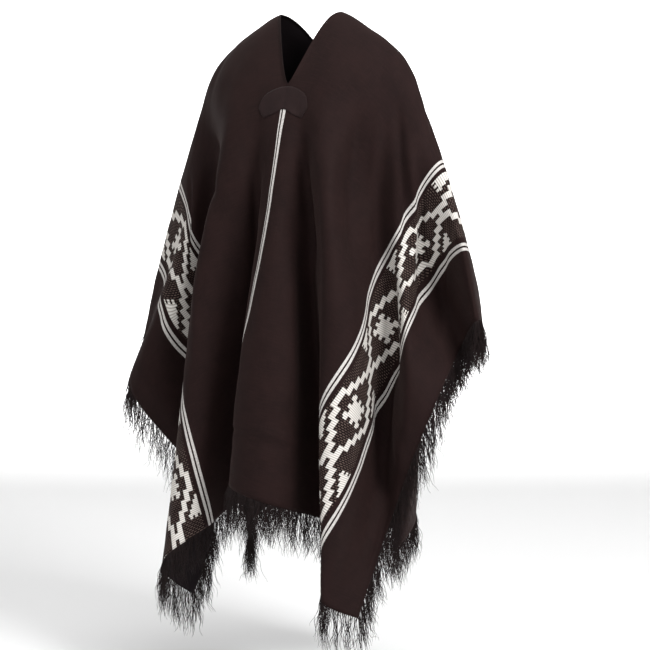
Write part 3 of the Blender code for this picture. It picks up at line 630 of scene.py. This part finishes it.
def cloth_material():
    n = Nodes("poncho_wool")
    flat = n.add("ShaderNodeAttribute", attribute_name="flat").outputs["Vector"]
    split = n.add("ShaderNodeSeparateXYZ")
    n.feed(split.inputs[0], flat)
    s, t, outside = split.outputs
    # the weave wanders a little, as handwork does
    wander = n.mul(n.minus(n.noise(flat, 9.0, 1.0), 0.5), 0.0022)
    s = n.plus(s, wander)
    away = n.math("ABSOLUTE", s)

    # --- figured band, on a chart of cells: x across from the band's middle,
    # y along from the star's middle, one repeat 40 cells long
    cell_x = (BAND_OUT - BAND_IN) / 24
    cell_y = REPEAT / 40
    x = n.math("DIVIDE", n.minus(away, (BAND_IN + BAND_OUT) / 2), cell_x)
    woven = n.add("ShaderNodeAttribute", attribute_name="woven").outputs["Fac"]
    y = n.math("DIVIDE", n.minus(0.0, woven), cell_y)        # grows towards the front edge
    ax = n.math("ABSOLUTE", x)
    # whole repeats are taken off, leaving -20 .. 20
    y = n.minus(y, n.mul(40.0, n.math("ROUND", n.math("DIVIDE", y, 40.0))))
    ay = n.math("ABSOLUTE", y)
    # the stepped frame: blocks two cells wide, each four cells down starting
    # one cell before the last one ends
    step_a = n.math("FLOOR", n.math("DIVIDE", ay, 4.0))
    step_b = n.math("FLOOR", n.math("DIVIDE", n.plus(ay, 1.2), 4.0))
    zig = n.either(n.near(ax, n.minus(10.0, n.mul(step_a, 2.0)), 1.15),
                   n.near(ax, n.minus(10.0, n.mul(step_b, 2.0)), 1.15))
    # the star: a square whose four sides have three prongs each
    core = n.both(n.near(x, 0.0, 3.5), n.near(y, 0.0, 3.5))
    prong_x = n.both(n.either(n.near(ax, 3.5, 0.9), n.near(ax, 0.0, 0.8)), n.near(ay, 4.1, 1.2))
    prong_y = n.both(n.near(ax, 4.1, 1.0), n.either(n.near(ay, 3.5, 0.9), n.near(ay, 0.0, 0.8)))
    star = n.either(core, prong_x, prong_y)
    # stepped half arrows at the margins, between one star and the next: the
    # inner one points back, the outer one points forwards
    yc = n.minus(n.plus(y, 40.0), n.mul(40.0, n.math("GREATER_THAN", y, 0.0)))   # 0..40, crossing at 20
    grow_in = n.math("FLOOR", n.math("DIVIDE", n.minus(yc, 6.0), 2.0))
    reach_in = n.math("LESS_THAN", n.plus(x, 12.0), n.plus(grow_in, 1.0))
    in_range = n.both(n.math("GREATER_THAN", yc, 6.0), n.math("LESS_THAN", yc, 15.0))
    teeth_in = n.both(n.math("LESS_THAN", n.plus(x, 12.0), 5.0),
                      n.math("LESS_THAN", n.math("PINGPONG", n.plus(x, 12.0), 1.0), 0.55),
                      n.near(yc, 15.6, 0.8))
    arrow_in = n.either(n.both(reach_in, in_range), teeth_in)
    grow_out = n.math("FLOOR", n.math("DIVIDE", n.minus(34.0, yc), 2.0))
    reach_out = n.math("LESS_THAN", n.minus(12.0, x), n.plus(grow_out, 1.0))
    out_range = n.both(n.math("GREATER_THAN", yc, 25.0), n.math("LESS_THAN", yc, 34.0))
    teeth_out = n.both(n.math("LESS_THAN", n.minus(12.0, x), 5.0),
                       n.math("LESS_THAN", n.math("PINGPONG", n.minus(12.0, x), 1.0), 0.55),
                       n.near(yc, 24.4, 0.8))
    arrow_out = n.either(n.both(reach_out, out_range), teeth_out)
    in_band = n.near(ax, 0.0, 12.0)
    figure = n.both(n.either(zig, star, arrow_in, arrow_out), in_band)

    # --- stripes
    def double(centre, half_gap, half_width):
        return n.near(n.math("ABSOLUTE", n.minus(away, centre)), half_gap, half_width)
    stripes = n.either(double(STRIPE_IN, 0.0049, 0.0030), double(STRIPE_OUT, 0.0049, 0.0030))
    below_patch = n.math("LESS_THAN", t, -PATCH_TOP - 0.0478)
    behind = n.math("GREATER_THAN", t, SLIT_BACK + 0.012)
    centre = n.either(n.near(s, 0.0031, 0.0031), n.near(s, -0.0045, 0.0014))
    centre = n.both(centre, n.either(below_patch, behind))
    white_line = n.either(stripes, centre)

    # --- ribs of the white figure and broken dashes of the ground
    rib = n.math("SINE", n.mul(woven, 2 * math.pi / 0.0042))
    rows = n.math("FLOOR", n.math("DIVIDE", woven, 0.0042))
    shift = n.mul(n.math("FRACT", n.mul(rows, 0.5)), 0.0090)
    dash_x = n.math("FRACT", n.math("DIVIDE", n.plus(s, shift), 0.0090))
    dash_y = n.math("FRACT", n.math("DIVIDE", woven, 0.0042))
    dash = n.both(n.math("LESS_THAN", dash_x, 0.66), n.math("LESS_THAN", dash_y, 0.40), in_band)
    dash = n.both(dash, n.range(n.noise(flat, 45.0, 2.0), 0.3, 0.7, 0.35, 1.0))

    # --- colours
    wool_noise = n.noise(flat, 16.0, 4.0, 0.6)
    heather = n.noise(flat, 420.0, 2.0)
    ground = n.mix(n.range(wool_noise, 0.3, 0.7, 0.0, 1.0),
                   (0.0070, 0.0028, 0.0026, 1), (0.0116, 0.0047, 0.0043, 1))
    # thick and thin yarns: long across for the weft, long down for the warp
    across_yarn = n.noise(n.combine(n.mul(s, 38.0), n.mul(t, 520.0), 0.0), 1.0, 2.0)
    down_yarn = n.noise(n.combine(n.mul(s, 480.0), n.mul(t, 24.0), 0.0), 1.0, 2.0)
    ground = n.mix(n.range(across_yarn, 0.46, 0.74, 0.0, 0.45), ground, (0.0180, 0.0080, 0.0074, 1))
    ground = n.mix(n.range(down_yarn, 0.50, 0.76, 0.0, 0.30), ground, (0.0160, 0.0072, 0.0066, 1))
    ground = n.mix(n.range(heather, 0.45, 0.75, 0.0, 0.45), ground, (0.0145, 0.0070, 0.0066, 1))
    band_ground = n.mix(in_band, ground, (0.0058, 0.0025, 0.0023, 1))
    dashed = n.mix(n.mul(dash, 0.55), band_ground, (0.20, 0.142, 0.122, 1))
    ivory = n.mix(n.range(rib, -0.7, 0.2, 0.0, 1.0), (0.28, 0.26, 0.24, 1), (0.66, 0.64, 0.61, 1))
    ivory = n.mix(n.range(n.noise(flat, 90.0, 2.0), 0.3, 0.75, 0.0, 0.5), ivory, (0.50, 0.46, 0.42, 1))
    line_white = n.mix(n.range(n.noise(flat, 260.0, 2.0), 0.35, 0.7, 0.0, 1.0),
                       (0.52, 0.50, 0.48, 1), (0.36, 0.34, 0.325, 1))
    colour = n.mix(figure, dashed, ivory)
    colour = n.mix(white_line, colour, line_white)
    inside_colour = n.mix(n.either(n.mul(figure, 0.7), white_line), (0.0080, 0.0055, 0.0066, 1), (0.34, 0.32, 0.30, 1))
    colour = n.mix(outside, inside_colour, colour)
    n.feed(n.bsdf.inputs["Base Color"], colour)
    n.bsdf.inputs["Roughness"].default_value = 0.80
    n.bsdf.inputs["Specular IOR Level"].default_value = 0.10
    n.bsdf.inputs["Sheen Weight"].default_value = 0.03
    n.bsdf.inputs["Sheen Roughness"].default_value = 0.45
    n.bsdf.inputs["Sheen Tint"].default_value = (0.85, 0.60, 0.55, 1)

    # --- relief: plain weave, raised figure, wool fuzz
    warp = n.math("SINE", n.mul(s, 2 * math.pi / 0.0013))
    weft = n.math("SINE", n.mul(t, 2 * math.pi / 0.0015))
    weave = n.mul(n.mul(warp, weft), 0.5)
    fuzz = n.noise(flat, 900.0, 2.0)
    relief = n.plus(n.mul(weave, 0.00009), n.mul(fuzz, 0.00012))
    relief = n.plus(relief, n.mul(figure, n.plus(0.00035, n.mul(rib, 0.00010))))
    relief = n.plus(relief, n.mul(white_line, 0.00016))
    relief = n.plus(relief, n.mul(across_yarn, 0.00016))
    bump = n.add("ShaderNodeBump")
    bump.inputs["Strength"].default_value = 0.7
    bump.inputs["Distance"].default_value = 1.0
    n.feed(bump.inputs["Height"], relief)
    n.feed(n.bsdf.inputs["Normal"], bump.outputs[0])
    return n.material


def yarn_material(name, dark, light, scale=700.0):
    n = Nodes(name)
    place = n.add("ShaderNodeNewGeometry").outputs["Position"]
    mixed = n.mix(n.range(n.noise(place, scale, 2.0), 0.3, 0.7, 0.0, 1.0), dark, light)
    mixed = n.mix(n.range(n.noise(place, 22.0, 2.0), 0.35, 0.7, 0.0, 0.6), mixed, light)
    n.feed(n.bsdf.inputs["Base Color"], mixed)
    n.bsdf.inputs["Roughness"].default_value = 0.85
    n.bsdf.inputs["Specular IOR Level"].default_value = 0.12
    n.bsdf.inputs["Sheen Weight"].default_value = 0.05
    bump = n.add("ShaderNodeBump")
    bump.inputs["Strength"].default_value = 0.5
    bump.inputs["Distance"].default_value = 1.0
    n.feed(bump.inputs["Height"], n.mul(n.noise(place, scale, 2.0), 0.0004))
    n.feed(n.bsdf.inputs["Normal"], bump.outputs[0])
    return n.material


wool = cloth_material()
cloth = cloth_object(form, wool)
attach(cloth, "root")
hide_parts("cloth")


# ------------------------------------------------------- reading the surface
def surface(s, t):
    """Point, outward normal, and the directions along s and t, at flat places."""
    s = np.atleast_1d(np.asarray(s, float))
    t = np.atleast_1d(np.asarray(t, float))
    left = s < 0
    h = middle
    cols = np.where(left, 0, h)
    step = HALF / (h - 1)
    fs = np.where(left, (s + HALF) / step, s / step)
    i = np.clip(np.floor(fs).astype(int), 0, h - 2)
    u = np.clip(fs - i, 0, 1)[:, None]
    i = i + cols
    j = np.clip(np.searchsorted(fine_t, t, side="right") - 1, 0, len(fine_t) - 2)
    v = np.clip((t - fine_t[j]) / (fine_t[j + 1] - fine_t[j]), 0, 1)[:, None]

    def read(field):
        return ((field[i, j] * (1 - u) + field[i + 1, j] * u) * (1 - v)
                + (field[i, j + 1] * (1 - u) + field[i + 1, j + 1] * u) * v)
    p = read(form)
    n = unit(read(normals))
    across = unit(form[i + 1, j] - form[i, j])
    along = unit(form[i, j + 1] - form[i, j])
    return p, n, across, along


# ------------------------------------------------------------------- fringe
YARN_SIDES = 3


def fringe_object(name, edge, count, reach, material, seed):
    """Knotted fringe: many thin threads joined in one mesh, in small uneven
    bunches.  edge(u) gives flat places for u in 0..1 along this side."""
    rng = np.random.default_rng(seed)
    per = 4                                               # threads of one bunch
    bunch = np.arange(count) // per
    groups = int(bunch.max()) + 1
    u = (bunch + 0.5) * per / count + (np.arange(count) % per - (per - 1) / 2) * 0.55 / count
    u = np.clip(u + rng.normal(0, 0.25, count) / count, 0.0005, 0.9995)
    s, t, out_s, out_t = edge(u)
    p, n, across, along = surface(s, t)
    out = unit(across * out_s[:, None] + along * out_t[:, None])
    run = unit(np.cross(n, out))
    rows = 11
    length = reach * np.clip(0.86 + 0.16 * rng.normal(0, 1, count) + 0.08 * rng.normal(0, 1, groups)[bunch], 0.45, 1.12)
    lean = rng.normal(0, 1, (groups, 2))[bunch]
    stray = rng.normal(0, 1, (count, 2))
    down = np.array([0.0, 0.0, -1.0])
    phase = rng.random((groups, 4))[bunch] * 2 * math.pi
    own = rng.random((count, 2)) * 2 * math.pi
    paths = np.zeros((count, rows, 3))
    paths[:, 0] = p - out * 0.0025
    for r in range(1, rows):
        q = r / (rows - 1)
        soft = min(1.0, q * 3.0) ** 0.5
        waves = (run * (np.cos(phase[:, :1] + q * 9) * 0.30 + np.cos(own[:, :1] + q * 15) * 0.28)
                 + n * (np.cos(phase[:, 1:2] + q * 8) * 0.26 + np.cos(own[:, 1:] + q * 14) * 0.24)) * min(1.0, q * 2.5)
        fall = unit(out * 0.75 * (1 - 0.93 * soft) + down * (0.25 + 0.75 * soft) + waves
                    + run * (0.13 * lean[:, :1] + 0.10 * stray[:, :1]) + n * (0.09 * lean[:, 1:] + 0.08 * stray[:, 1:]))
        paths[:, r] = paths[:, r - 1] + fall * (length / (rows - 1))[:, None]
    taper = np.linspace(1.0, 0.62, rows)
    taper[-1] = 0.3
    radius = (0.00050 * (0.8 + 0.4 * rng.random(count)))[:, None] * taper[None]
    # tubes with three sides
    tangent = unit(np.gradient(paths, axis=1))
    side_a = unit(np.cross(tangent, np.array([0.3, 0.9, 0.2])))
    side_b = np.cross(tangent, side_a)
    ring = np.zeros((count, rows, YARN_SIDES, 3))
    for k in range(YARN_SIDES):
        a = 2 * math.pi * k / YARN_SIDES
        ring[:, :, k] = paths + (side_a * math.cos(a) + side_b * math.sin(a)) * radius[..., None]
    verts = ring.reshape(-1, 3)
    base = np.arange(count)[:, None, None, None] * rows * YARN_SIDES
    r = np.arange(rows - 1)[None, :, None, None] * YARN_SIDES
    k = np.arange(YARN_SIDES)[None, None, :, None]
    k2 = (k + 1) % YARN_SIDES
    quads = np.concatenate([base + r + k, base + r + k2, base + r + YARN_SIDES + k2, base + r + YARN_SIDES + k], -1).reshape(-1, 4)
    first = (np.arange(count) * rows * YARN_SIDES)[:, None]
    caps = np.vstack([first + np.array([2, 1, 0]), first + (rows - 1) * YARN_SIDES + np.array([0, 1, 2])])
    return new_mesh(name, verts, quads.tolist() + caps.tolist(), material)


def hem_side(kind):
    def edge(u):
        one = np.ones_like(u)
        if kind == "front":
            return -HALF + 2 * HALF * u, -FRONT_LENGTH * one, 0 * one, -one
        if kind == "back":
            return -HALF + 2 * HALF * u, BACK_LENGTH * one, 0 * one, one
        total = FRONT_LENGTH + BACK_LENGTH
        sign = 1.0 if kind == "left" else -1.0
        return sign * HALF * one, -FRONT_LENGTH + total * u, sign * one, 0 * one
    return edge


yarn = yarn_material("fringe_wool", (0.0056, 0.0029, 0.0028, 1), (0.0150, 0.0082, 0.0080, 1))
for number, (kind, count) in enumerate((("front", 1900), ("back", 1900), ("left", 2300), ("right", 2300))):
    piece = fringe_object("fringe_threads_" + kind, hem_side(kind), count, FRINGE_REACH * 1.22, yarn, 20 + number)
    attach(piece, "root")
    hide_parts("fringe_" + kind)


# -------------------------------------------------------------- neck patch
# outline of one lobe from the centre seam outwards: place across, and place
# down from the patch's top, in metres
LOBE = [
    # across, down
    (0.0000, 0.0080),
    (0.0110, 0.0085),
    (0.0240, 0.0115),
    (0.0380, 0.0165),
    (0.0460, 0.0230),
    (0.0510, 0.0320),
    (0.0540, 0.0400),
    (0.0490, 0.0500),
    (0.0420, 0.0600),
    (0.0310, 0.0590),
    (0.0190, 0.0560),
    (0.0070, 0.0500),
    (0.0000, 0.0480),
]


def patch_object(material):
    """A rounded two-lobed patch: columns across, rows between the outline's
    upper and lower lines, a closed shell that lies on the cloth."""
    cols, rows = 61, 25
    upper = np.array(LOBE[:7])
    lower = np.array(LOBE[6:][::-1])
    x = np.linspace(-0.0538, 0.0538, cols)
    top = np.interp(np.abs(x), upper[:, 0], upper[:, 1])
    low = np.interp(np.abs(x), lower[:, 0], lower[:, 1])
    q = np.linspace(0, 1, rows)
    s = np.repeat(x[:, None], rows, 1)
    t = -(PATCH_TOP + top[:, None] * (1 - q) + low[:, None] * q)
    p, n, _, _ = surface(s.reshape(-1), t.reshape(-1))
    rim = np.minimum(1, np.minimum.reduce([
        np.repeat(np.minimum(np.arange(cols), np.arange(cols)[::-1])[:, None], rows, 1) / 2.0,
        np.repeat(np.minimum(np.arange(rows), np.arange(rows)[::-1])[None, :], cols, 0) / 2.0])).reshape(-1, 1)
    seam = np.exp(-(s.reshape(-1, 1) / 0.0016) ** 2)
    lift = 0.0012 + 0.0009 * np.sqrt(rim) - 0.0006 * seam
    high = p + n * (SHELL / 2 + lift)
    base = p + n * (SHELL / 2 + 0.0006)
    count = cols * rows
    ids = np.arange(count).reshape(cols, rows)
    quads = np.stack([ids[:-1, :-1], ids[1:, :-1], ids[1:, 1:], ids[:-1, 1:]], -1).reshape(-1, 4).tolist()
    faces = quads + [(a + count, d + count, c + count, b + count) for a, b, c, d in quads]
    loop = list(ids[:, 0]) + list(ids[-1, 1:]) + list(ids[:-1, -1][::-1]) + list(ids[0, :-1][::-1])
    for a, b in zip(loop[:-1], loop[1:]):
        faces.append((b, a, a + count, b + count))
    thing = new_mesh("neck_patch_cloth", np.vstack([high, base]), faces, material)
    flat = np.stack([s.reshape(-1), t.reshape(-1), np.ones(count)], -1)
    add_flat(thing.data, np.vstack([flat, flat]))
    return thing


def patch_material():
    n = Nodes("patch_wool")
    flat = n.add("ShaderNodeAttribute", attribute_name="flat").outputs["Vector"]
    split = n.add("ShaderNodeSeparateXYZ")
    n.feed(split.inputs[0], flat)
    s, t, _ = split.outputs
    tone = n.mix(n.range(n.noise(flat, 60.0, 3.0), 0.3, 0.7, 0.0, 1.0), (0.0108, 0.0050, 0.0049, 1), (0.0142, 0.0070, 0.0069, 1))
    n.feed(n.bsdf.inputs["Base Color"], tone)
    n.bsdf.inputs["Roughness"].default_value = 0.75
    n.bsdf.inputs["Specular IOR Level"].default_value = 0.12
    n.bsdf.inputs["Sheen Weight"].default_value = 0.04
    n.bsdf.inputs["Sheen Roughness"].default_value = 0.4
    weave = n.mul(n.mul(n.math("SINE", n.mul(s, 2 * math.pi / 0.0011)), n.math("SINE", n.mul(t, 2 * math.pi / 0.0011))), 0.00008)
    bump = n.add("ShaderNodeBump")
    bump.inputs["Strength"].default_value = 0.7
    bump.inputs["Distance"].default_value = 1.0
    n.feed(bump.inputs["Height"], n.plus(weave, n.mul(n.noise(flat, 900.0, 2.0), 0.0001)))
    n.feed(n.bsdf.inputs["Normal"], bump.outputs[0])
    return n.material


patch = patch_object(patch_material())
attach(patch, "root")
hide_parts("neck_patch")

# --------------------------------------------------- floor, light and camera
FLOOR = -1.32
floor_mesh = bpy.data.meshes.new("studio_floor")
sweep = []
for k in range(25):
    q = k / 24
    if q < 0.4:
        sweep.append((-14 + q / 0.4 * 20.5, 0.0))
    elif q < 0.7:
        a = (q - 0.4) / 0.3 * math.pi / 2
        sweep.append((6.5 + math.sin(a) * 2.5, 2.5 - math.cos(a) * 2.5))
    else:
        sweep.append((9.0, 2.5 + (q - 0.7) / 0.3 * 6.0))
yaw = math.radians(30)
verts, quads = [], []
for k, (d, z) in enumerate(sweep):
    for w in (-14.0, 14.0):
        # d runs away from the camera, w across the view
        verts.append((-math.sin(yaw) * d + math.cos(yaw) * w, math.cos(yaw) * d + math.sin(yaw) * w, FLOOR + z))
for k in range(len(sweep) - 1):
    quads.append((2 * k, 2 * k + 1, 2 * k + 3, 2 * k + 2))
floor_mesh.from_pydata(verts, [], quads)
floor_mesh.polygons.foreach_set("use_smooth", [True] * len(quads))
pale = Nodes("studio_paper")
pale.bsdf.inputs["Base Color"].default_value = (0.86, 0.86, 0.86, 1)
pale.bsdf.inputs["Roughness"].default_value = 0.9
floor_mesh.materials.append(pale.material)
floor = bpy.data.objects.new("studio_floor", floor_mesh)
bpy.context.scene.collection.objects.link(floor)

world = bpy.data.worlds.new("studio")
bpy.context.scene.world = world
world.use_nodes = True
world.node_tree.nodes["Background"].inputs[0].default_value = (1, 1, 1, 1)
world.node_tree.nodes["Background"].inputs[1].default_value = 0.55


def soft_light(name, azimuth, elevation, distance, size, power, aim=(0, 0, -0.5)):
    data = bpy.data.lights.new(name, "AREA")
    data.energy = power
    data.size = size
    light = bpy.data.objects.new(name, data)
    a, e = math.radians(azimuth), math.radians(elevation)
    aim = Vector(aim)
    light.location = aim + Vector((math.sin(a) * math.cos(e), -math.cos(a) * math.cos(e), math.sin(e))) * distance
    light.rotation_euler = (aim - light.location).to_track_quat("-Z", "Y").to_euler()
    bpy.context.scene.collection.objects.link(light)
    return light


soft_light("key", 68, 32, 3.4, 1.1, 125)
soft_light("fill", -5, 22, 3.6, 2.4, 30)
soft_light("top", 20, 78, 3.0, 1.6, 34)
soft_light("backdrop", 30, 35, 4.2, 4.0, 520, aim=(-4.3, 7.4, 0.2))

camera_data = bpy.data.cameras.new("camera")
camera_data.sensor_width = 36.0
camera_data.lens = 36.0 * 2000.0 / 650.0
camera_data.clip_end = 50.0
camera_data.shift_x = (325.0 - 307.5) / 650.0
camera_data.shift_y = (318.0 - 325.0) / 650.0
camera = bpy.data.objects.new("camera", camera_data)
target = Vector((0, 0, -0.60))
az, el = math.radians(30), math.radians(4)
camera.location = target + Vector((math.sin(az) * math.cos(el), -math.cos(az) * math.cos(el), math.sin(el))) * 4.0
camera.rotation_euler = (target - camera.location).to_track_quat("-Z", "Y").to_euler()
bpy.context.scene.collection.objects.link(camera)
bpy.context.scene.camera = camera
bpy.context.scene.view_settings.view_transform = "Standard"
